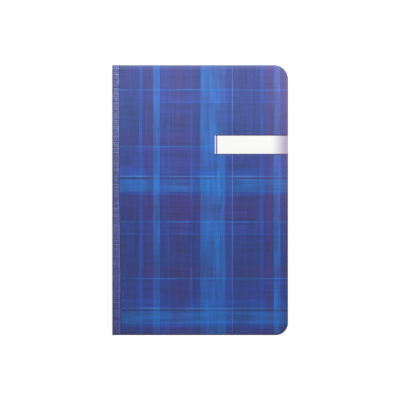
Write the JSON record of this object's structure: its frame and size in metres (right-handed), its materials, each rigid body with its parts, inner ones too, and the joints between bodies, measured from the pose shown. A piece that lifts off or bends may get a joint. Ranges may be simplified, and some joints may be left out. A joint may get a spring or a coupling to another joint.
{
  "type": "notebook",
  "caption": "Softcover sewn notebook with a cloth spine, rounded fore-edge corners and a blank title panel; covers and page blocks open on hinges.",
  "frame": {"origin": "centre of the closed notebook's footprint, on the surface that it lies on", "axes": "+X from the spine to the fore-edge, +Y from tail to head, +Z from the back cover to the front cover"},
  "size_m": [0.1106, 0.17, 0.0116],
  "materials": {
    "cover_card": "gloss laminate over a printed blue plaid",
    "spine_cloth": "woven book cloth",
    "page_paper": "smooth uncoated, ruled in pale squares",
    "sewing_thread": "matt"
  },
  "bodies": {
    "middle_block": {"thread_sections_4_5": "sewing_thread", "cloth_spine_sections_4_5": "spine_cloth", "section_4_sheet_1": "page_paper", "section_4_sheet_2": "page_paper", "section_4_sheet_3": "page_paper", "section_4_sheet_4": "page_paper", "section_4_sheet_5": "page_paper", "section_4_sheet_6": "page_paper", "section_4_sheet_7": "page_paper", "section_4_sheet_8": "page_paper", "section_5_sheet_1": "page_paper", "section_5_sheet_2": "page_paper", "section_5_sheet_3": "page_paper", "section_5_sheet_4": "page_paper", "section_5_sheet_5": "page_paper", "section_5_sheet_6": "page_paper", "section_5_sheet_7": "page_paper", "section_5_sheet_8": "page_paper"},
    "upper_block": {"thread_sections_2_3": "sewing_thread", "cloth_spine_sections_2_3": "spine_cloth", "section_2_sheet_1": "page_paper", "section_2_sheet_2": "page_paper", "section_2_sheet_3": "page_paper", "section_2_sheet_4": "page_paper", "section_2_sheet_5": "page_paper", "section_2_sheet_6": "page_paper", "section_2_sheet_7": "page_paper", "section_2_sheet_8": "page_paper", "section_3_sheet_1": "page_paper", "section_3_sheet_2": "page_paper", "section_3_sheet_3": "page_paper", "section_3_sheet_4": "page_paper", "section_3_sheet_5": "page_paper", "section_3_sheet_6": "page_paper", "section_3_sheet_7": "page_paper", "section_3_sheet_8": "page_paper"},
    "first_section": {"thread_section_1": "sewing_thread", "cloth_spine_section_1": "spine_cloth", "section_1_sheet_1": "page_paper", "section_1_sheet_2": "page_paper", "section_1_sheet_3": "page_paper", "section_1_sheet_4": "page_paper", "section_1_sheet_5": "page_paper", "section_1_sheet_6": "page_paper", "section_1_sheet_7": "page_paper", "section_1_sheet_8": "page_paper"},
    "front_cover": {"front_cover": "cover_card", "cloth_front_flap": "spine_cloth"},
    "last_section": {"thread_section_6": "sewing_thread", "cloth_spine_section_6": "spine_cloth", "section_6_sheet_1": "page_paper", "section_6_sheet_2": "page_paper", "section_6_sheet_3": "page_paper", "section_6_sheet_4": "page_paper", "section_6_sheet_5": "page_paper", "section_6_sheet_6": "page_paper", "section_6_sheet_7": "page_paper", "section_6_sheet_8": "page_paper"},
    "back_cover": {"back_cover": "cover_card", "cloth_back_flap": "spine_cloth"}
  },
  "joints": [
    {"name": "front_cover_hinge", "type": "hinge", "parent": "first_section", "child": "front_cover", "pos_m": [-0.05543, 0, 0.01133], "axis": [0, -1, 0], "range_deg": [0, 179.9]},
    {"name": "early_opening", "type": "hinge", "parent": "upper_block", "child": "first_section", "pos_m": [-0.05543, 0, 0.00931], "axis": [0, 1, 0], "range_deg": [-179.9, 0]},
    {"name": "middle_opening", "type": "hinge", "parent": "middle_block", "child": "upper_block", "pos_m": [-0.05543, 0, 0.00579], "axis": [0, -1, 0], "range_deg": [0, 179.9]},
    {"name": "late_opening", "type": "hinge", "parent": "middle_block", "child": "last_section", "pos_m": [-0.05543, 0, 0.00227], "axis": [0, -1, 0], "range_deg": [-179.9, 0]},
    {"name": "back_cover_hinge", "type": "hinge", "parent": "last_section", "child": "back_cover", "pos_m": [-0.05543, 0, 0.00025], "axis": [0, 1, 0], "range_deg": [0, 179.9]}
  ]
}
